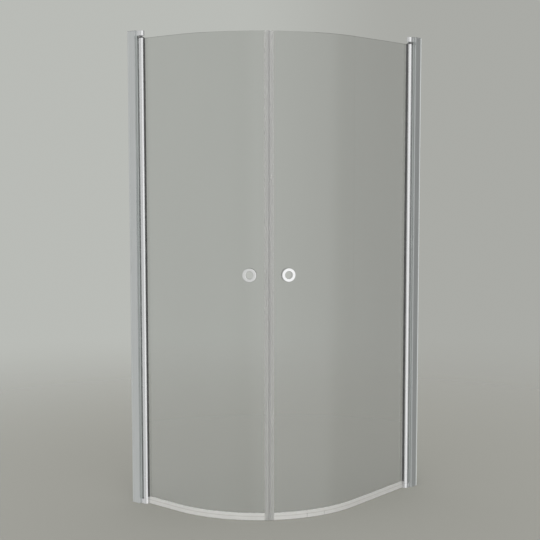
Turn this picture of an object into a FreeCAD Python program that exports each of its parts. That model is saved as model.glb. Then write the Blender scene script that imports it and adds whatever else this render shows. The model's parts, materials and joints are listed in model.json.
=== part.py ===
"""Offset quadrant shower enclosure: two curved glass doors on rise-and-fall hinges.

The row frame has its origin on the floor, in the middle of the bounding box. The room's corner is at
the low X and high Y end: the left wall is the plane X = -tray_width / 2 and the right wall is the
plane Y = tray_depth / 2. Z is up.

Both sides are made in one hinge frame, in millimetres:
  u  distance from the side's own wall, towards the meeting edge
  v  distance outwards from the middle of the glass
  z  height above the floor
The door runs along v = 0, then bends towards -v around the point (bend_start, -glass_radius).
"""
import FreeCAD, Part

import math
import os

from FreeCAD import Vector

# Overall sizes
tray_width = 800.0
tray_depth = 1000.0
total_height = 2000.0
glass_setback = 34.0            # outer face of the wall profile to the middle of the glass
glass_radius = 516.0            # middle of the glass on the bend
seam_angle = 45.0               # the doors meet half way round the bend
glass_thickness = 6.0
glass_arris = 0.8               # ground corners of the upper and lower edges
glass_over_block = 1.0          # lower edge of the glass above the bottom block
glass_over_tube = 1.5           # upper edge of the glass above the end of the tube
lift_clearance = 0.25           # over the top pin's flange when the door is fully open
floor_gap = 0.2                 # under the bottom pin's head
overrun = 2.0                   # cutting shapes run past the faces that they cut
same_place = 0.01               # two coordinates this close are one

# Fits
slide_gap = 0.6                 # hinge profile in the wall profile, each side
part_gap = 0.3                  # between pieces that move past each other
running_gap = 0.05              # radial, pin in bearing
seat_gap = 0.2                  # inner parts in their housings

# Wall profile
profile_depth = 41.0            # out from the wall
profile_width = 44.0            # along v
profile_wall = 1.8
profile_bead_depth = 6.5        # raised line beside the wall
profile_bead_height = 1.2
profile_bead_edge = 1.0         # rounding of the raised line
cap_thickness = 2.0
cap_peg_length = 8.0
profile_edge = 0.6              # rounding of the front corners
wall_hole_radius = 2.5
wall_hole_from_end = 150.0

# Hinge profile, as wide as the door tube
hinge_wall = 1.8
hinge_back = 12.0               # its back edge from the wall
hinge_to_tube_gap = 2.5
hinge_edge = 0.6                # rounding of the front corners
port_radius = 1.9               # bore of the screw ports
port_wall = 1.7
port_places = (20.0, 34.0)      # from the wall
seal_groove_width = 6.4
seal_groove_depth = 2.0
seal_mouth_width = 3.6
seal_mouth_depth = 1.2

# Door tube and pivot
tube_radius = 12.0
tube_wall = 2.0
pivot_from_wall = 62.0
tube_bottom_gap = 0.4
pocket_wall = 2.0
pocket_floor = 58.0             # from the wall
pocket_lip = 67.5               # from the wall, end of the pocket's inner wall
gasket_wall = 1.2
gasket_wrap = 1.2               # thickness of the lip that follows the tube's flank
gasket_past_middle = 2.5        # the lip ends this far beyond the tube's own middle
glass_edge_gap = 0.2

# Pivot blocks, screws and pins
block_height = 21.0
block_floor = 3.0
block_edge = 1.2                # fillet round the free edge
pin_radius = 4.0
pin_flat = 3.2                  # axis to the flats of the top pin
pin_in_door = 24.0
collar_radius = 7.0
collar_thickness = 2.4
flange_radius = 11.0            # nearly as wide as the tube, so that it covers the plug
flange_thickness = 2.0
spring_chamber_radius = 8.5
spring_wire = 1.0
spring_radius = 5.4
spring_turns = 4
cover_thickness = 2.5
cover_radius = 9.6
cover_edge = 0.6
plug_length = 30.0
plug_flange = 1.5
block_screw_radius = 1.9
block_screw_head = 3.6
block_screw_length = 34.0
bottom_pin_height = 60.0
bottom_pin_head = 6.0
bottom_pin_head_height = 2.0

# Rise-and-fall cams
cam_rise_per_turn = 22.6
cam_teeth = 2
cam_chamber_radius = 10.0
cam_base = 3.5
cam_key_width = 3.0
cam_key_depth = 0.9
cam_back_gap = 2.0              # degrees between the steep faces
swing_limit = 95.0

# Clamping screws of the hinge profile
clamp_from_end = 250.0
clamp_from_wall = 27.0
clamp_shank_radius = 1.75
clamp_head_radius = 3.5
clamp_head_height = 2.2
clamp_crown_radius = 2.1        # flat top of the head
clamp_rim_height = 1.0
clamp_reach = 4.0               # into the hinge profile
cover_wall = 0.9

# Bottom and meeting seals
seal_half_width = 5.4
seal_slot_gap = 0.1
bottom_seal_grip = 7.5          # up the glass
bottom_seal_lift = 0.5
bottom_lip = 1.5
bottom_web = 5.0
seal_edge = 0.8
seal_notch = 0.9                # line between the clip and its lips
magnet_seal_length = 18.0
magnet_seal_bottom = 1.0
magnet_half_width = 5.8
magnet_face_gap = 0.2           # from the meeting line
magnet_chamber_wall = 1.1
magnet_thickness = 4.4
magnet_half_depth = 4.2
magnet_glass_edge = 8.5         # meeting line to the edge of the glass
magnet_leg = 1.9

# Ring handles
handle_height = 1005.0
handle_from_seam = 78.5
handle_radius = 28.5
handle_bore_radius = 14.5
handle_thickness = 7.0
handle_edge = 2.6
sleeve_wall = 3.0
glass_hole_radius = 19.6
washer_thickness = 1.2
washer_rim = 1.0                # the washer stays inside the ring's edge

# Derived places
tube_v = tube_radius            # the tube's inner side is in line with the middle of the glass
half_glass = glass_thickness / 2
profile_low_v = tube_v - profile_width / 2
profile_high_v = tube_v + profile_width / 2
profile_face_v = profile_high_v - profile_bead_height
slot_low_v = tube_v - tube_radius - slide_gap
slot_high_v = tube_v + tube_radius + slide_gap
hinge_front = pivot_from_wall - tube_radius - hinge_to_tube_gap
block_top = total_height
top_block_bottom = total_height - block_height
tube_bottom = block_height + tube_bottom_gap
door_lift = cam_rise_per_turn * swing_limit / 360.0
pin_flange_top = top_block_bottom - door_lift - lift_clearance
plug_top = pin_flange_top - flange_thickness - part_gap
tube_top = plug_top - plug_flange
tube_far_side = pivot_from_wall + tube_radius
collar_low = top_block_bottom + block_floor + part_gap
collar_high = collar_low + collar_thickness
glass_top = tube_top + glass_over_tube
glass_bottom = block_height + glass_over_block
bottom_seal_top = glass_bottom + bottom_seal_grip
bottom_seal_start = pivot_from_wall + math.sqrt(
    (tube_radius + part_gap) ** 2 - (tube_v - seal_half_width) ** 2)    # just clear of the round block
gasket_bottom = bottom_seal_top + part_gap
clamp_heights = (clamp_from_end, total_height / 2, total_height - clamp_from_end)
sides = {
    "left": tray_width - glass_setback - glass_radius,
    "right": tray_depth - glass_setback - glass_radius,
}
up = Vector(0, 0, 1)


# Basic solids, all in the hinge frame

def block(u_low, u_high, v_low, v_high, z_low, z_high):
    corner = Vector(u_low, v_low, z_low)
    return Part.makeBox(u_high - u_low, v_high - v_low, z_high - z_low, corner)


def rod(radius, z_low, z_high, u=pivot_from_wall, v=tube_v):
    return Part.makeCylinder(radius, z_high - z_low, Vector(u, v, z_low), up)


def tube(inner, outer, z_low, z_high):
    return rod(outer, z_low, z_high).cut(rod(inner, z_low, z_high))


def face_of(points):
    return Part.Face(Part.makePolygon(points + points[:1]))


def turned(outline, centre, axis):
    """Revolve (radius, along) points about an axis through centre, a full turn."""
    across = Vector(0, 0, 1) if abs(axis.z) < 0.5 else Vector(1, 0, 0)
    points = [centre + across * radius + axis * along for radius, along in outline]
    return face_of(points).revolve(centre, axis, 360)


def joined(shapes):
    whole = shapes[0].fuse(shapes[1:])
    return whole.removeSplitter()


def minus(shape, tools):
    return shape.cut(tools).removeSplitter()


def same(first, second):
    return abs(first - second) < same_place


def flat_edges(shape, z):
    """The edges that lie in the level plane z."""
    return [edge for edge in shape.Edges if same(edge.BoundBox.ZMin, z) and same(edge.BoundBox.ZMax, z)]


def rounded_corners(shape, radius, corners):
    """Round the upright edges of an extrusion that stand at the given (u, v) corners."""
    edges = []
    for edge in shape.Edges:
        box = edge.BoundBox
        if box.XLength < same_place and box.YLength < same_place:
            if any(same(box.XMin, u) and same(box.YMin, v) for u, v in corners):
                edges.append(edge)
    return shape.makeFillet(radius, edges)


# Pieces that follow the glass

def bend_centre(bend_start):
    return Vector(bend_start, -glass_radius, 0)


def degrees_along(length):
    """Angle that a length along the middle of the glass takes up on the bend."""
    return math.degrees(length / glass_radius)


def to_bend(shape, bend_start, from_seam):
    """Turn a piece made at the start of the bend to its place, from_seam before the meeting line."""
    turned_shape = shape.copy()
    turn = seam_angle - degrees_along(from_seam)
    turned_shape.rotate(bend_centre(bend_start), up, -turn)
    return turned_shape


def bend_piece(bend_start, outline, near_seam, far_from_seam):
    """Sweep a (v, z) outline round the bend, between two distances from the meeting line."""
    face = face_of([Vector(bend_start, v, z) for v, z in outline])
    sweep = degrees_along(far_from_seam - near_seam)
    piece = face.revolve(bend_centre(bend_start), -up, sweep)
    return to_bend(piece, bend_start, far_from_seam)


def door_piece(bend_start, outline, u_start, near_seam):
    """Sweep a (v, z) outline along the whole door: straight, then round the bend."""
    face = face_of([Vector(u_start, v, z) for v, z in outline])
    straight = face.extrude(Vector(bend_start - u_start, 0, 0))
    whole_bend = math.radians(seam_angle) * glass_radius
    return joined([straight, bend_piece(bend_start, outline, near_seam, whole_bend)])


def rectangle(v_low, v_high, z_low, z_high):
    return [(v_low, z_low), (v_high, z_low), (v_high, z_high), (v_low, z_high)]


def rectangle_with_cut_corners(half, z_low, z_high, cut):
    """A (v, z) outline, even about v = 0."""
    outer_side = [(half - cut, z_low), (half, z_low + cut), (half, z_high - cut), (half - cut, z_high)]
    return outer_side + [(-v, z) for v, z in reversed(outer_side)]


# Fixed pieces

def wall_profile():
    top = total_height - cap_thickness
    body = block(0, profile_depth, profile_low_v, profile_face_v, 0, top)
    bead = block(0, profile_bead_depth, profile_face_v, profile_high_v, 0, top)
    body = rounded_corners(joined([body, bead]), profile_edge, profile_front_corners())
    body = rounded_corners(body, profile_bead_edge, [(profile_bead_depth, profile_high_v)])
    low, high = -overrun, top + overrun
    cuts = [block(profile_wall, profile_depth + overrun, slot_low_v, slot_high_v, low, high)]
    for v_low, v_high in profile_chambers():
        cuts.append(block(profile_wall, profile_depth - profile_wall, v_low, v_high, low, high))
    for z in wall_hole_heights():
        cuts.append(Part.makeCylinder(wall_hole_radius, profile_wall + overrun * 2,
                                      Vector(-overrun, tube_v, z), Vector(1, 0, 0)))
    for z in clamp_heights:
        cuts.append(Part.makeCylinder(clamp_shank_radius, slot_low_v - profile_low_v + overrun * 2,
                                      Vector(clamp_from_wall, profile_low_v - overrun, z),
                                      Vector(0, 1, 0)))
    return minus(body, cuts)


def profile_front_corners():
    return [(profile_depth, profile_low_v), (profile_depth, profile_face_v)]


def profile_chambers():
    """The two hollow chambers beside the slot, as v spans."""
    low = (profile_low_v + profile_wall, slot_low_v - profile_wall)
    high = (slot_high_v + profile_wall, profile_face_v - profile_wall)
    return (low, high)


def wall_hole_heights():
    return (wall_hole_from_end, total_height / 2, total_height - wall_hole_from_end)


def wall_cap():
    top = total_height
    plate = block(0, profile_depth, profile_low_v, profile_face_v, top - cap_thickness, top)
    plate = rounded_corners(plate, profile_edge, profile_front_corners())
    pegs = []
    for v_low, v_high in profile_chambers():
        pegs.append(block(profile_wall + seat_gap, profile_depth - profile_wall - seat_gap,
                          v_low + seat_gap, v_high - seat_gap,
                          top - cap_thickness - cap_peg_length, top - cap_thickness))
    return joined([plate] + pegs)


def hinge_profile():
    low, high = block_height, top_block_bottom
    v_low, v_high = tube_v - tube_radius, tube_v + tube_radius
    shell = block(hinge_back, hinge_front, v_low, v_high, low, high)
    shell = rounded_corners(shell, hinge_edge, [(hinge_front, v_low), (hinge_front, v_high)])
    hollow = block(hinge_back + hinge_wall, hinge_front - hinge_wall,
                   v_low + hinge_wall, v_high - hinge_wall, low - overrun, high + overrun)
    web = block(hinge_back, hinge_front, tube_v - hinge_wall / 2, tube_v + hinge_wall / 2, low, high)
    groove_back = hinge_front - seal_mouth_depth - seal_groove_depth
    head = block(groove_back - hinge_wall, hinge_front,
                 tube_v - seal_groove_width / 2 - hinge_wall,
                 tube_v + seal_groove_width / 2 + hinge_wall, low, high)
    ports = [rod(port_radius + port_wall, low, high, u) for u in port_places]
    body = joined([shell.cut(hollow), web, head] + ports)
    cuts = [rod(port_radius, low - overrun, high + overrun, u) for u in port_places]
    cuts.append(block(groove_back, hinge_front - seal_mouth_depth,
                      tube_v - seal_groove_width / 2, tube_v + seal_groove_width / 2,
                      low - overrun, high + overrun))
    cuts.append(block(hinge_front - seal_mouth_depth, hinge_front + overrun,
                      tube_v - seal_mouth_width / 2, tube_v + seal_mouth_width / 2,
                      low - overrun, high + overrun))
    for z in clamp_heights:
        cuts.append(Part.makeCylinder(clamp_shank_radius, hinge_wall + overrun,
                                      Vector(clamp_from_wall, v_low - overrun, z), Vector(0, 1, 0)))
    return minus(body, cuts)


def hinge_seal():
    """Foot in the groove, neck through the mouth and a soft round lip towards the tube."""
    low, high = block_height + part_gap, top_block_bottom - part_gap
    neck_half = seal_mouth_width / 2 - seat_gap
    foot_half = seal_groove_width / 2 - seat_gap
    foot_front = hinge_front - seal_mouth_depth
    foot = block(foot_front - seal_groove_depth + seat_gap, foot_front,
                 tube_v - foot_half, tube_v + foot_half, low, high)
    neck = block(foot_front, hinge_front, tube_v - neck_half, tube_v + neck_half, low, high)
    lip_reach = hinge_to_tube_gap - part_gap
    lip_half = foot_half
    lip_radius = (lip_half ** 2 + lip_reach ** 2) / (2 * lip_reach)
    round_lip = rod(lip_radius, low, high, hinge_front + lip_reach - lip_radius)
    window = block(hinge_front, hinge_front + lip_reach + overrun, tube_v - lip_half,
                   tube_v + lip_half, low, high)
    return joined([foot, neck, round_lip.common(window)])


def clamp_screws():
    screws = []
    for z in clamp_heights:
        head = clamp_head_radius
        shank = clamp_shank_radius
        reach = slot_low_v - profile_low_v + slide_gap + clamp_reach
        outline = [(0, -clamp_head_height), (clamp_crown_radius, -clamp_head_height),
                   (head, -clamp_rim_height), (head, 0), (shank, 0),
                   (shank, reach - shank), (0, reach)]
        centre = Vector(clamp_from_wall, profile_low_v, z)
        screws.append(turned(outline, centre, Vector(0, 1, 0)))
    return Part.makeCompound(screws)


def screw_covers():
    covers = []
    inner = clamp_head_radius + part_gap
    depth = clamp_head_height + part_gap
    outer = inner + cover_wall
    for z in clamp_heights:
        outline = [(0, -depth - cover_wall), (outer - cover_wall, -depth - cover_wall),
                   (outer, -depth), (outer, 0), (inner, 0), (inner, -depth), (0, -depth)]
        covers.append(turned(outline, Vector(clamp_from_wall, profile_low_v, z), Vector(0, 1, 0)))
    return Part.makeCompound(covers)


def pivot_block(z_low, z_high, tongue_low, tongue_high, free_edge_z):
    """Body beside the wall profile with a round nose, and a tongue inside its slot."""
    face = profile_depth + part_gap
    body = block(face, pivot_from_wall, tube_v - tube_radius, tube_v + tube_radius, z_low, z_high)
    body = joined([body, rod(tube_radius, z_low, z_high)])
    edges = [edge for edge in flat_edges(body, free_edge_z) if not same(edge.BoundBox.XMax, face)]
    body = body.makeFillet(block_edge, edges)
    tongue = block(hinge_back, face, slot_low_v + slide_gap * 2, slot_high_v - slide_gap * 2,
                   tongue_low, tongue_high)
    return joined([body, tongue])


def screw_holes(head_z, into):
    """Clearance holes with countersinks for the two block screws; into is +1 up or -1 down."""
    holes = []
    for u in port_places:
        outline = screw_outline(seat_gap, block_height + overrun, 0)
        holes.append(turned(outline, Vector(u, tube_v, head_z), Vector(0, 0, into)))
    return holes


def screw_outline(gap, length, tip):
    """Countersunk screw as (radius, depth) points, gap wider all round."""
    head = block_screw_head + gap
    shank = block_screw_radius + gap
    slope_end = head - shank
    return [(0, 0), (head, 0), (shank, slope_end), (shank, length - tip), (shank - tip, length),
            (0, length)]


def block_screws(head_z, into):
    screws = []
    for u in port_places:
        outline = screw_outline(0, block_screw_length, block_screw_radius / 2)
        screws.append(turned(outline, Vector(u, tube_v, head_z), Vector(0, 0, into)))
    return Part.makeCompound(screws)


def top_block():
    tongue_top = total_height - cap_thickness - part_gap
    body = pivot_block(top_block_bottom, block_top, top_block_bottom, tongue_top, block_top)
    cuts = screw_holes(tongue_top, -1)
    cover_z = block_top - cover_thickness
    cuts.append(rod(spring_chamber_radius, top_block_bottom + block_floor, cover_z))
    cuts.append(rod(cover_radius, cover_z, block_top + overrun))
    cuts.append(flatted_rod(running_gap, top_block_bottom - overrun,
                            top_block_bottom + block_floor + overrun))
    return minus(body, cuts)


def top_cover():
    cover_z = block_top - cover_thickness
    disc = rod(cover_radius, cover_z, block_top)
    return disc.makeFillet(cover_edge, flat_edges(disc, block_top))


def flatted_rod(gap, z_low, z_high):
    """The top pin's guide section: round with two flats."""
    half = pin_flat + gap
    reach = pin_radius + overrun
    window = block(pivot_from_wall - reach, pivot_from_wall + reach, tube_v - half, tube_v + half,
                   z_low, z_high)
    return rod(pin_radius + gap, z_low, z_high).common(window)


def top_pin():
    flange_low = pin_flange_top - flange_thickness
    pieces = [rod(pin_radius, plug_top - pin_in_door, flange_low)]
    pieces.append(rod(flange_radius, flange_low, pin_flange_top))
    pieces.append(flatted_rod(0, pin_flange_top, collar_low))
    pieces.append(rod(collar_radius, collar_low, collar_high))
    pieces.append(rod(pin_radius, collar_high, collar_high + door_lift))
    return joined(pieces)


def pin_spring():
    """Compression spring between the pin's collar and the top cover, as quarter-turn arcs."""
    low = collar_high + spring_wire / 2
    high = block_top - cover_thickness - spring_wire / 2
    steps = spring_turns * 4
    rise = (high - low) / steps

    def on_helix(step):
        angle = step * math.pi / 2
        return Vector(pivot_from_wall + spring_radius * math.cos(angle),
                      tube_v + spring_radius * math.sin(angle), low + rise * step)

    arcs = [Part.Arc(on_helix(i), on_helix(i + 0.5), on_helix(i + 1)).toShape()
            for i in range(steps)]
    path = Part.Wire(arcs)
    start = arcs[0].firstVertex().Point
    heading = arcs[0].tangentAt(arcs[0].FirstParameter)
    section = Part.Wire(Part.makeCircle(spring_wire / 2, start, heading))
    print("pin spring: least gap between turns", round(rise * 4 - spring_wire, 2), "mm")
    return path.makePipeShell([section], True, False)


def bottom_block():
    body = pivot_block(0, block_height, 0, block_height, 0)
    cuts = screw_holes(0, 1)
    cuts.append(rod(cam_chamber_radius, block_floor, block_height + overrun))
    cuts.append(rod(bottom_pin_head, -overrun, bottom_pin_head_height))
    cuts.append(rod(pin_radius, 0, block_height))
    cuts.append(cam_key(seat_gap))
    return minus(body, cuts)


def cam_key(gap):
    half = cam_key_width / 2 + gap
    return block(pivot_from_wall, pivot_from_wall + cam_chamber_radius + cam_key_depth + gap / 2,
                 tube_v - half, tube_v + half, block_floor, block_floor + cam_base)


def bottom_pin():
    head = rod(bottom_pin_head, floor_gap, bottom_pin_head_height)
    return joined([head, rod(pin_radius, bottom_pin_head_height, bottom_pin_height)])


# The cams: saw teeth whose long flanks are helical, so that turning the door lifts it

def helical_flank(start_z, first, last, turn):
    """Everything under a helical ramp, from angle first to last, the whole turned by turn."""
    tooth = 360.0 / cam_teeth
    depth = cam_rise_per_turn * (tooth + cam_back_gap) / 360.0 + cam_base * 2
    inner = pin_radius - overrun
    outer = cam_chamber_radius + overrun
    rise = cam_rise_per_turn * (last - first) / 360.0
    helix = Part.makeHelix(cam_rise_per_turn, rise, outer)
    profile = Part.makePolygon([Vector(inner, 0, -depth), Vector(outer, 0, -depth),
                                Vector(outer, 0, 0), Vector(inner, 0, 0), Vector(inner, 0, -depth)])
    flank = Part.Wire(helix.Edges).makePipeShell([profile], True, True)
    flank.rotate(Vector(0, 0, 0), up, first + turn)
    flank.translate(Vector(pivot_from_wall, tube_v, start_z + cam_rise_per_turn * first / 360.0))
    return flank


def cam_valley_z():
    return block_floor + cam_base


def tooth_angles():
    return [360.0 / cam_teeth * i for i in range(cam_teeth)]


def lower_cam():
    outer = cam_chamber_radius - seat_gap / 2
    ring = tube(pin_radius, outer, block_floor, block_height)
    teeth = [ring.common(helical_flank(cam_valley_z(), 0, 360.0 / cam_teeth, turn))
             for turn in tooth_angles()]
    return joined(teeth + [cam_key(0).cut(rod(outer, 0, block_height))])


def upper_cam():
    outer = cam_chamber_radius - part_gap
    inner = pin_radius + running_gap
    skirt = tube(inner, outer, cam_valley_z(), tube_bottom)
    cuts = [helical_flank(cam_valley_z() + part_gap, 0, 360.0 / cam_teeth + cam_back_gap, turn)
            for turn in tooth_angles()]
    teeth = skirt.cut(cuts)
    plug = tube_plug(tube_bottom, tube_bottom + plug_length, inner)
    return joined([teeth, plug])


# Door pieces

def cavity_flat():
    """Where the tube's D-shaped cavity stops above the glass pocket."""
    return half_glass + gasket_wall + tube_wall


def tube_plug(z_low, z_high, bore):
    """D-shaped plug that can't turn in the tube's cavity."""
    radius = tube_radius - tube_wall
    body = rod(radius, z_low, z_high)
    reach = radius + overrun
    flat = block(pivot_from_wall - reach, pivot_from_wall + reach, tube_v - reach, cavity_flat(),
                 z_low - overrun, z_high + overrun)
    return body.cut([flat, rod(bore, z_low - overrun, z_high + overrun)])


def door_tube():
    """Tube with a cavity for the plugs. Under it lies the glass pocket, open beside its flank."""
    pocket = half_glass + gasket_wall
    body = rod(tube_radius, tube_bottom, tube_top)
    inner_side = block(pocket_floor - pocket_wall, pocket_lip, -pocket - pocket_wall, pocket,
                       tube_bottom, tube_top)
    body = joined([body, inner_side])
    low, high = tube_bottom - overrun, tube_top + overrun
    cavity = rod(tube_radius - tube_wall, low, high)
    cavity_side = block(0, tube_far_side, cavity_flat(), tube_v + tube_radius, low, high)
    glass_pocket = block(pocket_floor, tube_far_side, -pocket, pocket, low, high)
    return minus(body, [cavity.common(cavity_side), glass_pocket])


def top_plug():
    """Bearing plug whose flange covers the end of the tube and stops short of the glass."""
    inner = pin_radius + running_gap
    plug = tube_plug(tube_top - plug_length, tube_top, inner)
    flange = tube(inner, tube_radius, tube_top, plug_top)
    glass_side = block(pocket_floor, tube_far_side, -tube_radius, half_glass + gasket_wall,
                       tube_top, plug_top)
    return joined([plug, flange.cut(glass_side)])


def glazing_gasket():
    """Lines the pocket, and wraps round the tube's flank down to the outer face of the glass.

    It stops above the bottom seal, which runs on to the round block.
    """
    pocket = half_glass + gasket_wall
    low, high = gasket_bottom, tube_top
    lining = block(pocket_floor, pocket_lip, -pocket, pocket, low, high)
    under_tube = block(pocket_lip, tube_far_side, half_glass, pocket, low, high)
    wrap = rod(tube_radius + gasket_wrap, low, high)
    wrapped_side = block(pocket_lip, tube_far_side + gasket_wrap, half_glass,
                         tube_v + gasket_past_middle, low, high)
    wrap = wrap.common(wrapped_side).cut(rod(tube_radius, low, high))
    slot = block(pocket_floor + gasket_wall, tube_far_side + overrun, -half_glass, half_glass,
                 low - overrun, high + overrun)
    under_tube = under_tube.common(rod(tube_radius, low, high))
    return joined([lining, under_tube, wrap]).cut(slot).removeSplitter()


def glass_pane(bend_start):
    u_start = pocket_floor + gasket_wall + glass_edge_gap
    outline = rectangle_with_cut_corners(half_glass, glass_bottom, glass_top, glass_arris)
    pane = door_piece(bend_start, outline, u_start, magnet_glass_edge)
    reach = glass_thickness
    hole = handle_turning([(0, -reach), (glass_hole_radius, -reach), (glass_hole_radius, reach),
                           (0, reach)], bend_start)
    return pane.cut(to_bend(hole, bend_start, handle_from_seam))


def bottom_seal(bend_start):
    """Clip on the lower edge of the glass, with a face down to two lips just off the floor."""
    wide = seal_half_width
    slot = half_glass + seal_slot_gap
    top = bottom_seal_top
    foot = bottom_seal_lift
    web_top = glass_bottom - seal_slot_gap
    web_low = web_top - bottom_web
    inner = wide - bottom_lip
    outline = [(slot, top), (wide - seal_edge, top), (wide, top - seal_edge),
               (wide, web_low + seal_notch), (wide - seal_notch, web_low), (wide, web_low - seal_notch),
               (wide, foot + seal_edge), (wide - seal_edge, foot), (inner, foot), (inner, web_low),
               (-inner, web_low), (-inner, foot), (-wide + seal_edge, foot), (-wide, foot + seal_edge),
               (-wide, top - seal_edge), (-wide + seal_edge, top), (-slot, top),
               (-slot, web_top), (slot, web_top)]
    return door_piece(bend_start, outline, bottom_seal_start, magnet_seal_length + part_gap)


def magnet_seal(bend_start):
    """Clip on the meeting edge, closed by a chamber that holds the magnet."""
    low, high = magnet_seal_bottom, glass_top
    wide = magnet_half_width
    slot = half_glass + seal_slot_gap
    web_near = magnet_face_gap + magnet_chamber_wall * 2 + magnet_thickness + seat_gap
    web_far = magnet_glass_edge - seal_slot_gap
    core = bend_piece(bend_start, rectangle(-wide, wide, low, high), magnet_face_gap, web_far)
    half = magnet_half_depth + seat_gap
    chamber = bend_piece(bend_start, rectangle(-half, half, low - overrun, high + overrun),
                         magnet_face_gap + magnet_chamber_wall, web_near - magnet_chamber_wall)
    legs = [bend_piece(bend_start, rectangle(v_low, v_low + magnet_leg, low, high),
                       web_far, magnet_seal_length)
            for v_low in (slot, -slot - magnet_leg)]
    return joined([core] + legs).cut(chamber)


def magnet_strip(bend_start):
    near = magnet_face_gap + magnet_chamber_wall + seat_gap / 2
    outline = rectangle(-magnet_half_depth, magnet_half_depth, magnet_seal_bottom, glass_top)
    return bend_piece(bend_start, outline, near, near + magnet_thickness)


# Handles, turned about an axis square to the glass

def handle_turning(outline, bend_start):
    """Revolve (radius, v) points about the handle's axis, at the start of the bend."""
    return turned(outline, Vector(bend_start, 0, handle_height), Vector(0, 1, 0))


def washer_v_outer():
    return half_glass + washer_thickness


def washer_v_inner():
    """The glass is hollow on the inside, so the inner ring sits further off at its middle."""
    inner_radius = glass_radius - half_glass
    sagitta = inner_radius - math.sqrt(inner_radius ** 2 - handle_radius ** 2)
    return -(half_glass + sagitta + washer_thickness / 2)


def rounded_at(shape, v):
    """Round the circular edges of a handle piece that lie in the plane v."""
    edges = [edge for edge in shape.Edges
             if same(edge.BoundBox.YMin, v) and same(edge.BoundBox.YMax, v)]
    return shape.makeFillet(handle_edge, edges)


def handle_outer_ring(bend_start):
    """Ring with a sleeve that goes through the glass into the inner ring."""
    base = washer_v_outer()
    face = base + handle_thickness
    bore = handle_bore_radius
    flange = handle_turning([(bore, base), (handle_radius, base), (handle_radius, face), (bore, face)],
                            bend_start)
    sleeve = handle_turning([(bore, sleeve_end_v()), (bore + sleeve_wall, sleeve_end_v()),
                             (bore + sleeve_wall, base), (bore, base)], bend_start)
    ring = joined([rounded_at(flange, face), sleeve])
    return to_bend(ring, bend_start, handle_from_seam)


def sleeve_end_v():
    return washer_v_inner() - handle_thickness + handle_edge


def handle_inner_ring(bend_start):
    """Ring that screws on to the sleeve, with a small collar in front of the sleeve's end."""
    base = washer_v_inner()
    face = base - handle_thickness
    bore = handle_bore_radius
    seat = bore + sleeve_wall
    ring = handle_turning([(seat, base), (handle_radius, base), (handle_radius, face), (bore, face),
                           (bore, sleeve_end_v()), (seat, sleeve_end_v())], bend_start)
    edges = [edge for edge in ring.Edges
             if same(edge.BoundBox.YMin, face) and same(edge.BoundBox.XLength, handle_radius * 2)]
    ring = ring.makeFillet(handle_edge, edges)
    return to_bend(ring, bend_start, handle_from_seam)


def glass_at_handle(bend_start, v_low, v_high):
    """A patch of the bent glass, or of the space beside it, round the handle."""
    reach = handle_radius * 2
    outline = rectangle(v_low, v_high, handle_height - reach, handle_height + reach)
    return bend_piece(bend_start, outline, handle_from_seam - reach, handle_from_seam + reach)


def handle_washers(bend_start):
    """A soft washer on each face of the bent glass. The outer one has a bush through the hole."""
    sleeve = handle_bore_radius + sleeve_wall
    rim = handle_radius - washer_rim
    bush = glass_hole_radius - seat_gap / 2
    outer_blank = handle_turning([(bush, 0), (rim, 0), (rim, washer_v_outer()),
                                  (bush, washer_v_outer())], bend_start)
    inner_blank = handle_turning([(sleeve, washer_v_inner()), (rim, washer_v_inner()), (rim, 0),
                                  (sleeve, 0)], bend_start)
    bush_tube = handle_turning([(sleeve, -half_glass), (bush, -half_glass),
                                (bush, washer_v_outer()), (sleeve, washer_v_outer())], bend_start)
    outer_blank = to_bend(outer_blank, bend_start, handle_from_seam)
    inner_blank = to_bend(inner_blank, bend_start, handle_from_seam)
    bush_tube = to_bend(bush_tube, bend_start, handle_from_seam)
    outside = glass_at_handle(bend_start, half_glass, handle_radius)
    inside = glass_at_handle(bend_start, -handle_radius, -half_glass)
    outer = joined([outer_blank.common(outside), bush_tube])
    return Part.makeCompound([outer, inner_blank.common(inside)])


# Placing and writing

def placed(shape, side):
    """From the hinge frame to the row frame. The left side is the mirror image of the right one."""
    if side == "left":
        moved = shape.mirror(Vector(0, 0, 0), Vector(0, 1, 0))
        moved.translate(Vector(-tray_width / 2, glass_setback - tray_depth / 2, 0))
        return moved
    moved = shape.copy()
    moved.rotate(Vector(0, 0, 0), up, -90)
    moved.translate(Vector(tray_width / 2 - glass_setback, tray_depth / 2, 0))
    return moved


def main():
    os.makedirs("parts", exist_ok=True)
    tongue_top = total_height - cap_thickness - part_gap
    same_on_both = {
        "wall_profile": wall_profile(),
        "wall_cap": wall_cap(),
        "hinge_profile": hinge_profile(),
        "hinge_seal": hinge_seal(),
        "profile_screws": clamp_screws(),
        "screw_covers": screw_covers(),
        "top_block": top_block(),
        "top_cover": top_cover(),
        "top_screws": block_screws(tongue_top, -1),
        "top_pin": top_pin(),
        "pin_spring": pin_spring(),
        "bottom_block": bottom_block(),
        "bottom_screws": block_screws(0, 1),
        "bottom_pin": bottom_pin(),
        "lower_cam": lower_cam(),
        "upper_cam": upper_cam(),
        "door_tube": door_tube(),
        "top_plug": top_plug(),
        "glazing_gasket": glazing_gasket(),
    }
    along_the_bend = {
        "glass_pane": glass_pane,
        "bottom_seal": bottom_seal,
        "magnet_seal": magnet_seal,
        "magnet_strip": magnet_strip,
        "handle_outer_ring": handle_outer_ring,
        "handle_inner_ring": handle_inner_ring,
        "handle_washers": handle_washers,
    }
    for side, bend_start in sides.items():
        pieces = dict(same_on_both)
        for name, make in along_the_bend.items():
            pieces[name] = make(bend_start)
        for name, shape in pieces.items():
            placed(shape, side).exportStep(f"parts/{side}_{name}.step")


main()
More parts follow.
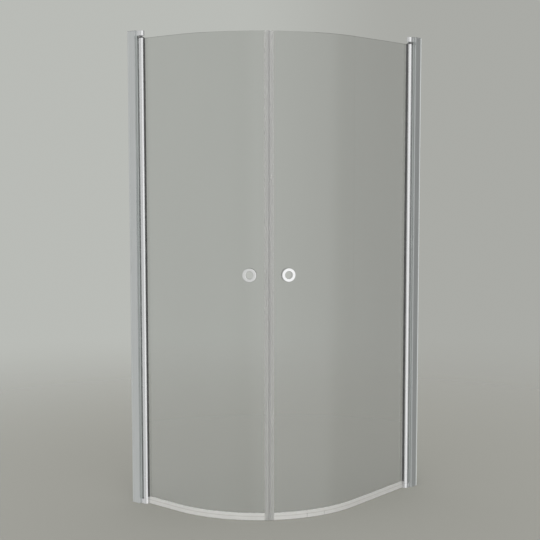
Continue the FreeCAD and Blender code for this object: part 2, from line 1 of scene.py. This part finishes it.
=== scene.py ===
"""Looks of the offset quadrant shower enclosure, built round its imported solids.

Everything is in metres, in the solids' own frame: the origin is on the floor in the middle of the
bounding box, the left wall is at low X, the right wall at high Y, and Z is up.
"""
import json
import math

import bpy
from mathutils import Matrix, Vector

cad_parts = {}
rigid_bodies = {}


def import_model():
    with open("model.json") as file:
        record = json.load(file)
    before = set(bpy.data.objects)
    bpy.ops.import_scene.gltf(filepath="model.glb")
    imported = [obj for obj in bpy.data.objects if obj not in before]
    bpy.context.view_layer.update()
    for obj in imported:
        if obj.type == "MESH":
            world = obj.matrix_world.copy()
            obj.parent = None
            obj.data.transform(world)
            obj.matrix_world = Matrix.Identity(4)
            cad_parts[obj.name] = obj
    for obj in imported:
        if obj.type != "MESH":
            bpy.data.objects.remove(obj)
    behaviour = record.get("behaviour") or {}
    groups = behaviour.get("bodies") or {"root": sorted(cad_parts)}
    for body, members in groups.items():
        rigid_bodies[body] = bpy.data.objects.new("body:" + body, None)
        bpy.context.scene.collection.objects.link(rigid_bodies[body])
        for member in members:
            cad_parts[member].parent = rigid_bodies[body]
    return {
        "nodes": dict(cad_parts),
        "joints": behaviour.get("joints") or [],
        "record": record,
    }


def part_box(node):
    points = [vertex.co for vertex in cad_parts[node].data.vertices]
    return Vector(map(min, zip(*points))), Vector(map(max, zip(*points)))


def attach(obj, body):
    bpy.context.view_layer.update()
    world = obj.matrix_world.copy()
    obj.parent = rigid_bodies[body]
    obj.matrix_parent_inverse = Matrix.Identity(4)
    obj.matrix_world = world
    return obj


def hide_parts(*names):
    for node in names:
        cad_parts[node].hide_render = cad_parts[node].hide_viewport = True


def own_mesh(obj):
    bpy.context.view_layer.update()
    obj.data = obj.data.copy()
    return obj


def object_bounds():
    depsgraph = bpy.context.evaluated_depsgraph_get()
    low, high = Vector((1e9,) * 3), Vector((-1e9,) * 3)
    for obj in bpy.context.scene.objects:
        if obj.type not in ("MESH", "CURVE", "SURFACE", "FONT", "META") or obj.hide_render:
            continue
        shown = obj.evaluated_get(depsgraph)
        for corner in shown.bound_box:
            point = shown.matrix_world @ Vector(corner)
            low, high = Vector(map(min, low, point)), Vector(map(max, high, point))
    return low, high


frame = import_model()
cad_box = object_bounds()

MM = 0.001

# Camera, fitted to the photograph
CAMERA_PLACE = Vector((3.0854, -3.6940, 1.4221))
CAMERA_YAW = math.radians(40.2976)      # from +Y towards -X
CAMERA_PITCH = math.radians(5.1067)     # down
CAMERA_ROLL = math.radians(-0.0506)
CAMERA_LENS = 74.079                    # mm, on a sensor of this width in mm
CAMERA_SENSOR = 36.0
CAMERA_NEAR = 0.05
CAMERA_FAR = 100.0

# Background and floor
BACKGROUND_IN_GLOSS = (0.455, 0.462, 0.440)
BACKGROUND_LEFT = (0.488, 0.500, 0.472)
# painted shade: the background turns darker on the right of the view
BACKGROUND_RIGHT = (0.400, 0.405, 0.380)
BACKGROUND_TURN = (-0.03, 0.12)         # sine of the angle past the view's middle, where it changes
FLOOR_COLOUR = (0.346, 0.344, 0.313)
FLOOR_RADIUS = 8.0
FLOOR_CORNERS = 128
FLOOR_FADE = (0.8, 5.0)                 # radii between which it fades into the background
FLOOR_LIFT_IN_GLASS = 0.45              # how far glass shows the background instead of the floor
AMBIENT_COLOUR = (1.0, 1.0, 1.0)
AMBIENT_STRENGTH = 0.62

# Soft panels that only show in gloss: azimuth from +X towards +Y, elevation, the angles from its
# middle at which the panel is full and gone, and its brightness
PANELS = (
    (-115.0, 5.0, 25.0, 60.0, 0.68),
    (68.0, 5.0, 20.0, 42.0, 0.33),
    (-16.0, 4.0, 30.0, 52.0, 1.05),
)

# Lamps: azimuth and elevation as for the panels, angle across and strength
LAMPS = {
    "key_lamp": (-75.0, 48.0, 70.0, 1.30),
    "fill_lamp": (5.0, 40.0, 90.0, 0.50),
}

# Wall profile: the low bead along its wall edge looks rounder than its solid
BEAD_DEPTH = 6.5 * MM
BEAD_LEAN = (0.2, 0.8)                  # lean of its normals at the wall and at its far side
INTO_ROOM_LEFT = (1.0, 0.0, 0.0)        # away from the wall that carries each profile
INTO_ROOM_RIGHT = (0.0, -1.0, 0.0)
LEFT_WALL = cad_box[0][0]               # each wall's place along its direction
RIGHT_WALL = -cad_box[1][1]

# Bottom seal: painted shade in the line between its clip and its lips
SEAL_LINE_BELOW_TOP = 12.6 * MM
NOTCH_SHADE_TONE = (0.80, 0.795, 0.785)
NOTCH_SHADE_REACH = 2.2 * MM
NOTCH_SHADE_FULL = 0.3                         # share of that reach in which the painted shade is full

# Patterns in the surfaces: how many cells fit in a metre along X, Y and Z, and their detail
HANDLING = ((22.0, 22.0, 9.0), 5.0)
TURNING = ((60.0, 60.0, 2600.0), 2.0)
WEAR = ((240.0, 240.0, 240.0), 4.0)
WIPING = ((130.0, 130.0, 130.0), 5.0)
MOULD_PATCHES = ((40.0, 40.0, 40.0), 3.0)
RUBBER_LINES = ((1500.0, 1500.0, 3.0), 3.0)
RUBBER_BLOOM = ((55.0, 55.0, 18.0), 4.0)
PVC_LINES = ((1100.0, 1100.0, 2.0), 2.0)
PVC_CLOUD = ((30.0, 30.0, 6.0), 4.0)
GLASS_FILM = ((2.5, 2.5, 1.2), 3.0)
DIE_LINE_LENGTH = 1.2                   # cells per metre along a profile
DIE_LINE_DETAIL = 4.0
GRAIN_DETAIL = 3.0
NOISE_MIDDLE = (0.25, 0.75)             # range that most of a noise lies in

# Depth of the patterns
TURNING_DEPTH = 0.01 * MM
GRAIN_DEPTH = 0.03 * MM
RUBBER_LINE_DEPTH = 0.02 * MM
PVC_LINE_DEPTH = 0.01 * MM

PVC_ROUGHNESS = (0.26, 0.38)


# Node helpers

def feed(tree, socket, value):
    """Give an input a plain value, or link an output to it. Plain colours have three parts."""
    if isinstance(value, bpy.types.NodeSocket):
        tree.links.new(value, socket)
    elif socket.type == "RGBA":
        socket.default_value = (*value, 1.0)
    else:
        socket.default_value = value


def add_node(tree, kind, *inputs, **values):
    """A node of a kind. inputs go to its sockets in order.

    values are attributes, or inputs by their socket's name with _ for a space.
    """
    node = tree.nodes.new("ShaderNode" + kind)
    for socket, value in zip(node.inputs, inputs):
        feed(tree, socket, value)
    for name, value in values.items():
        if hasattr(node, name):
            setattr(node, name, value)
        else:
            feed(tree, node.inputs[name.replace("_", " ")], value)
    return node


def calculated(tree, operation, *numbers):
    """One step of arithmetic on plain numbers or sockets."""
    return add_node(tree, "Math", *numbers, operation=operation).outputs[0]


def dot_product(tree, first, second):
    return add_node(tree, "VectorMath", first, second, operation="DOT_PRODUCT").outputs["Value"]


def remapped(tree, source, before, after=(0.0, 1.0), curve="LINEAR"):
    """Map the range before to the range after, and hold its ends."""
    node = add_node(tree, "MapRange", source, interpolation_type=curve)
    node.inputs["From Min"].default_value, node.inputs["From Max"].default_value = before
    node.inputs["To Min"].default_value, node.inputs["To Max"].default_value = after
    return node.outputs[0]


def mixed_colours(tree, factor, first, second, blend="MIX"):
    """The first colour at factor 0, and the second laid over it at 1."""
    node = add_node(tree, "Mix", factor, data_type="RGBA", blend_type=blend)
    under, over = [socket for socket in node.inputs if socket.type == "RGBA"]
    feed(tree, under, first)
    feed(tree, over, second)
    return next(socket for socket in node.outputs if socket.type == "RGBA")


def mixed_shaders(tree, factor, first, second):
    return add_node(tree, "MixShader", factor, first, second).outputs[0]


def new_material(name):
    """An empty material and its node tree."""
    made = bpy.data.materials.new(name)
    made.use_nodes = True
    made.node_tree.nodes.clear()
    return made, made.node_tree


def add_surface(tree, **values):
    """The Principled shader on the material's output. values are its inputs, with _ for a space."""
    shader = add_node(tree, "BsdfPrincipled", **values)
    add_node(tree, "OutputMaterial", shader.outputs[0])


def object_noise(tree, stretch, detail):
    """Noise fixed to the piece. stretch is how many cells fit in a metre along X, Y and Z."""
    place = add_node(tree, "TexCoord").outputs["Object"]
    mapping = add_node(tree, "Mapping", place, Scale=stretch)
    noise = add_node(tree, "TexNoise", mapping.outputs[0], Scale=1.0, Detail=detail)
    return noise.outputs["Fac"]


def toned(colour, factor):
    return tuple(min(1.0, part * factor) for part in colour)


def mottled(tree, source, colour, darkest, lightest):
    """The colour times darkest to lightest, by a noise."""
    share = remapped(tree, source, NOISE_MIDDLE)
    return mixed_colours(tree, share, toned(colour, darkest), toned(colour, lightest))


def uneven(tree, source, roughness, smoothest, roughest):
    """The roughness times smoothest to roughest, by a noise."""
    return remapped(tree, source, NOISE_MIDDLE, (roughness * smoothest, roughness * roughest))


def bumped(tree, source, distance, normal=None):
    """A normal with a noise's relief, laid over another normal if one is given."""
    node = add_node(tree, "Bump", Height=source, Distance=distance)
    if normal is not None:
        feed(tree, node.inputs["Normal"], normal)
    return node.outputs[0]


def crowned(tree, inward, wall):
    """A normal that rounds the low bead at the wall edge of a profile.

    inward points from the wall into the enclosure, and wall is the wall's place along it.
    """
    place = add_node(tree, "TexCoord").outputs["Object"]
    along = dot_product(tree, place, inward)
    lean = remapped(tree, along, (wall, wall + BEAD_DEPTH), BEAD_LEAN)
    on_bead = calculated(tree, "LESS_THAN", along, wall + BEAD_DEPTH)
    amount = calculated(tree, "MULTIPLY", lean, on_bead)
    tilt = add_node(tree, "VectorMath", inward, operation="SCALE", Scale=amount).outputs[0]
    flat = add_node(tree, "NewGeometry").outputs["Normal"]
    leaning = add_node(tree, "VectorMath", flat, tilt, operation="ADD").outputs[0]
    return add_node(tree, "VectorMath", leaning, operation="NORMALIZE").outputs[0]


def notch_shaded(tree, colour, height):
    """Darken a colour in a thin band at a height: painted shade in a moulded line."""
    place = add_node(tree, "TexCoord").outputs["Object"]
    level = add_node(tree, "SeparateXYZ", place).outputs["Z"]
    distance = calculated(tree, "ABSOLUTE", calculated(tree, "SUBTRACT", level, height))
    band = remapped(tree, distance, (NOTCH_SHADE_REACH, NOTCH_SHADE_REACH * NOTCH_SHADE_FULL), curve="SMOOTHSTEP")
    return mixed_colours(tree, band, colour, NOTCH_SHADE_TONE, "MULTIPLY")


# Materials, one function for each kind of surface

def extruded_metal(name, colour, roughness, lines, depth, bead=None):
    """Metal with the fine lines that the extrusion die leaves along its length.

    lines is how many there are across a metre. bead is where a profile's wall bead lies, as
    crowned() takes it.
    """
    made, tree = new_material(name)
    die_lines = object_noise(tree, (lines, lines, DIE_LINE_LENGTH), DIE_LINE_DETAIL)
    handling = object_noise(tree, *HANDLING)
    rounded = crowned(tree, *bead) if bead else None
    add_surface(tree, Metallic=1.0,
                Base_Color=mottled(tree, die_lines, colour, darkest=0.93, lightest=1.05),
                Roughness=uneven(tree, handling, roughness, smoothest=0.85, roughest=1.2),
                Normal=bumped(tree, die_lines, depth, rounded))
    return made


def turned_metal(name, colour, roughness):
    """Small machined parts: fine rings round the axis and a soft wear pattern."""
    made, tree = new_material(name)
    rings = object_noise(tree, *TURNING)
    wear = object_noise(tree, *WEAR)
    add_surface(tree, Metallic=1.0,
                Base_Color=mottled(tree, wear, colour, darkest=0.92, lightest=1.06),
                Roughness=uneven(tree, wear, roughness, smoothest=0.8, roughest=1.25),
                Normal=bumped(tree, rings, TURNING_DEPTH))
    return made


def chrome(name, colour, roughness):
    """Plated and polished, with a faint haze of wiping marks."""
    made, tree = new_material(name)
    haze = object_noise(tree, *WIPING)
    add_surface(tree, Metallic=1.0,
                Base_Color=mottled(tree, haze, colour, darkest=0.985, lightest=1.01),
                Roughness=uneven(tree, haze, roughness, smoothest=0.6, roughest=1.4))
    return made


def moulded_plastic(name, colour, roughness, grain):
    """Plastic with a fine grain of that many cells in a metre."""
    made, tree = new_material(name)
    texture = object_noise(tree, (grain, grain, grain), GRAIN_DETAIL)
    patches = object_noise(tree, *MOULD_PATCHES)
    add_surface(tree, IOR=1.49,
                Base_Color=mottled(tree, patches, colour, darkest=0.94, lightest=1.05),
                Roughness=uneven(tree, texture, roughness, smoothest=0.9, roughest=1.1),
                Normal=bumped(tree, texture, GRAIN_DEPTH))
    return made


def extruded_rubber(name, colour, roughness):
    """Dark rubber with fine lines along it and a paler bloom."""
    made, tree = new_material(name)
    lines = object_noise(tree, *RUBBER_LINES)
    bloom = object_noise(tree, *RUBBER_BLOOM)
    add_surface(tree, IOR=1.5,
                Base_Color=mottled(tree, bloom, colour, darkest=0.8, lightest=1.3),
                Roughness=uneven(tree, bloom, roughness, smoothest=0.85, roughest=1.1),
                Normal=bumped(tree, lines, RUBBER_LINE_DEPTH))
    return made


def milky_pvc(name, colour, clearness, shade_line_height=None):
    """Translucent seal extrusion. clearness is the share of light that passes on unscattered.

    Its last argument is the height of a line of painted shade along it.
    """
    made, tree = new_material(name)
    cloud = object_noise(tree, *PVC_CLOUD)
    lines = object_noise(tree, *PVC_LINES)
    pvc_colour = mottled(tree, cloud, colour, darkest=0.97, lightest=1.02)
    # painted shade along the moulded line between the clip and the lips
    if shade_line_height is not None:
        pvc_colour = notch_shaded(tree, pvc_colour, shade_line_height)
    add_surface(tree, IOR=1.53, Transmission_Weight=clearness,
                Base_Color=pvc_colour,
                Roughness=remapped(tree, cloud, NOISE_MIDDLE, PVC_ROUGHNESS),
                Normal=bumped(tree, lines, PVC_LINE_DEPTH))
    return made


def clear_glass(name, tint, shadow_tint):
    """Toughened glass. Lamp light passes straight on and less tinted, so that its shadow is light."""
    made, tree = new_material(name)
    film = object_noise(tree, *GLASS_FILM)
    glass = add_node(tree, "BsdfPrincipled", IOR=1.45, Roughness=0.0, Transmission_Weight=1.0,
                     Base_Color=mottled(tree, film, tint, darkest=0.99, lightest=1.01)).outputs[0]
    straight = add_node(tree, "BsdfTransparent", shadow_tint).outputs[0]
    lamp_ray = add_node(tree, "LightPath").outputs["Is Shadow Ray"]
    add_node(tree, "OutputMaterial", mixed_shaders(tree, lamp_ray, glass, straight))
    return made


SATIN = {"colour": (0.65, 0.672, 0.664), "roughness": 0.32, "lines": 700.0, "depth": 0.008 * MM}
SOFT_PVC_COLOUR = (0.93, 0.925, 0.90)

MATERIALS = {
    "satin_aluminium": extruded_metal("satin_aluminium", **SATIN),
    "polished_metal": extruded_metal("polished_metal", colour=(0.80, 0.805, 0.81), roughness=0.26,
                                     lines=500.0, depth=0.003 * MM),
    "chrome_ring": chrome("chrome_ring", colour=(0.86, 0.865, 0.865), roughness=0.14),
    "stainless": turned_metal("stainless", colour=(0.62, 0.62, 0.63), roughness=0.28),
    "dark_steel": turned_metal("dark_steel", colour=(0.20, 0.20, 0.21), roughness=0.38),
    "bearing_plastic": moulded_plastic("bearing_plastic", colour=(0.04, 0.04, 0.042),
                                       roughness=0.42, grain=900.0),
    # The caps' grey is darkened so that they show as a dark line of shade at the profiles' top ends:
    # partly the caps' own tone, partly painted shade
    "grey_plastic": moulded_plastic("grey_plastic", colour=(0.33, 0.34, 0.345), roughness=0.45,
                                    grain=1400.0),
    "dark_rubber": extruded_rubber("dark_rubber", colour=(0.12, 0.12, 0.121), roughness=0.55),
    "clear_pvc": milky_pvc("clear_pvc", colour=(0.96, 0.96, 0.945), clearness=0.69),
    "magnet_bar": moulded_plastic("magnet_bar", colour=(0.025, 0.024, 0.022), roughness=0.6,
                                  grain=900.0),
    "clear_glass": clear_glass("clear_glass", tint=(0.77, 0.775, 0.765),
                               shadow_tint=(0.96, 0.965, 0.955)),
}

# The bottom seals are of a softer, milkier grade, and the hinge seals are the milkiest, so that
# their inside doesn't show
SOFT_PVC = milky_pvc("clear_pvc_soft", SOFT_PVC_COLOUR, clearness=0.27,
                     shade_line_height=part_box("left_bottom_seal")[1].z - SEAL_LINE_BELOW_TOP)
LIP_PVC = milky_pvc("clear_pvc_lip", SOFT_PVC_COLOUR, clearness=0.1)

# Nodes with a finish of their own
OWN_MATERIALS = {
    "left_hinge_seal": LIP_PVC,
    "right_hinge_seal": LIP_PVC,
    "left_bottom_seal": SOFT_PVC,
    "right_bottom_seal": SOFT_PVC,
    "left_wall_profile": extruded_metal("satin_left_bead", **SATIN,
                                        bead=(INTO_ROOM_LEFT, LEFT_WALL)),
    "right_wall_profile": extruded_metal("satin_right_bead", **SATIN,
                                         bead=(INTO_ROOM_RIGHT, RIGHT_WALL)),
}


def dress_nodes():
    """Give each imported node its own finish, or else the one of its slot."""
    for part in frame["record"]["subparts"]:
        node = part["node"]
        slots = frame["nodes"][node].data.materials
        slots.clear()
        slots.append(OWN_MATERIALS.get(node, MATERIALS[part["material_slot"]]))


def make_springs():
    """A copy of each pin spring's shape, fixed to its joint's parent in place of the imported node.
    """
    for joint in frame["joints"]:
        if joint["type"] != "slide":
            continue
        node = joint["name"].replace("lift", "pin_spring")
        spring = bpy.data.objects.new(node + "_coil", frame["nodes"][node].data.copy())
        bpy.context.scene.collection.objects.link(spring)
        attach(spring, joint["parent"])
        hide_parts(node)
        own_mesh(spring)


# Stage: floor, world, lamps and camera

def make_floor():
    """A plain disc that fades into the background, so that no horizon shows."""
    bpy.ops.mesh.primitive_circle_add(vertices=FLOOR_CORNERS, radius=FLOOR_RADIUS, fill_type="NGON",
                                      location=(0, 0, 0))
    floor = bpy.context.object
    floor.name = "floor"
    made, tree = new_material("floor")
    place = add_node(tree, "TexCoord").outputs["Object"]
    radius = add_node(tree, "VectorMath", place, operation="LENGTH").outputs["Value"]
    fade = remapped(tree, radius, FLOOR_FADE, curve="SMOOTHSTEP")
    through_glass = add_node(tree, "LightPath").outputs["Is Transmission Ray"]
    lift = calculated(tree, "MULTIPLY", through_glass, FLOOR_LIFT_IN_GLASS)
    clearing = add_node(tree, "Mix", lift, data_type="FLOAT", A=fade, B=1.0).outputs[0]
    diffuse = add_node(tree, "BsdfDiffuse", FLOOR_COLOUR).outputs[0]
    clear = add_node(tree, "BsdfTransparent").outputs[0]
    add_node(tree, "OutputMaterial", mixed_shaders(tree, clearing, diffuse, clear))
    floor.data.materials.append(made)
    floor.visible_glossy = False        # metal near the floor shows the panels


def with_panel(tree, colour, way, azimuth, elevation, full, gone, brightness):
    """Lay one soft round panel over the colours of the sky."""
    azimuth, elevation = math.radians(azimuth), math.radians(elevation)
    middle = (math.cos(azimuth) * math.cos(elevation), math.sin(azimuth) * math.cos(elevation),
              math.sin(elevation))
    fade = (math.cos(math.radians(gone)), math.cos(math.radians(full)))
    edge = remapped(tree, dot_product(tree, way, middle), fade, curve="SMOOTHSTEP")
    return mixed_colours(tree, edge, colour, (brightness, brightness, brightness))


def plain_background(tree, way):
    """A plain grey with painted shade that makes it a little darker on the right."""
    across = dot_product(tree, way, (math.cos(CAMERA_YAW), math.sin(CAMERA_YAW), 0.0))
    turn = remapped(tree, across, BACKGROUND_TURN, curve="SMOOTHSTEP")
    return mixed_colours(tree, turn, BACKGROUND_LEFT, BACKGROUND_RIGHT)


def make_world():
    """White fill on surfaces, a plain background to the eye and through glass, panels in gloss."""
    world = bpy.data.worlds.new("studio")
    bpy.context.scene.world = world
    world.use_nodes = True
    tree = world.node_tree
    tree.nodes.clear()
    way = add_node(tree, "TexCoord").outputs["Generated"]
    in_gloss = BACKGROUND_IN_GLOSS
    for panel in PANELS:
        in_gloss = with_panel(tree, in_gloss, way, *panel)
    rays = add_node(tree, "LightPath").outputs
    seen = calculated(tree, "MAXIMUM", rays["Is Camera Ray"], rays["Is Transmission Ray"])
    fill = add_node(tree, "Background", AMBIENT_COLOUR, Strength=AMBIENT_STRENGTH).outputs[0]
    plain = add_node(tree, "Background", plain_background(tree, way), Strength=1.0).outputs[0]
    studio = add_node(tree, "Background", in_gloss, Strength=1.0).outputs[0]
    on_surfaces = mixed_shaders(tree, rays["Is Glossy Ray"], fill, studio)
    add_node(tree, "OutputWorld", mixed_shaders(tree, seen, on_surfaces, plain))


def make_lamps():
    """Far, wide and soft lamps. Gloss shows the sky's panels instead of them."""
    for name, (azimuth, elevation, angle_across, strength) in LAMPS.items():
        data = bpy.data.lights.new(name, "SUN")
        data.energy = strength
        data.angle = math.radians(angle_across)
        data.cycles.use_multiple_importance_sampling = False    # or glass would swallow part of it
        lamp = bpy.data.objects.new(name, data)
        bpy.context.scene.collection.objects.link(lamp)
        lamp.rotation_euler = (math.radians(90.0 - elevation), 0.0, math.radians(90.0 + azimuth))
        lamp.visible_glossy = False
        lamp.visible_transmission = False


def make_camera():
    """The photograph's camera."""
    data = bpy.data.cameras.new("camera")
    data.lens = CAMERA_LENS
    data.sensor_width = CAMERA_SENSOR
    data.clip_start = CAMERA_NEAR
    data.clip_end = CAMERA_FAR
    camera = bpy.data.objects.new("camera", data)
    bpy.context.scene.collection.objects.link(camera)
    forward = Vector((-math.sin(CAMERA_YAW) * math.cos(CAMERA_PITCH),
                      math.cos(CAMERA_YAW) * math.cos(CAMERA_PITCH),
                      -math.sin(CAMERA_PITCH)))
    level_right = Vector((math.cos(CAMERA_YAW), math.sin(CAMERA_YAW), 0.0))
    level_up = level_right.cross(forward)
    right = level_right * math.cos(CAMERA_ROLL) + level_up * math.sin(CAMERA_ROLL)
    upward = right.cross(forward)
    turn = Matrix((right, upward, -forward)).transposed()
    camera.matrix_world = Matrix.Translation(CAMERA_PLACE) @ turn.to_4x4()
    bpy.context.scene.camera = camera


dress_nodes()
make_springs()
make_floor()
make_world()
make_lamps()
make_camera()
bpy.context.scene.view_settings.view_transform = "Standard"
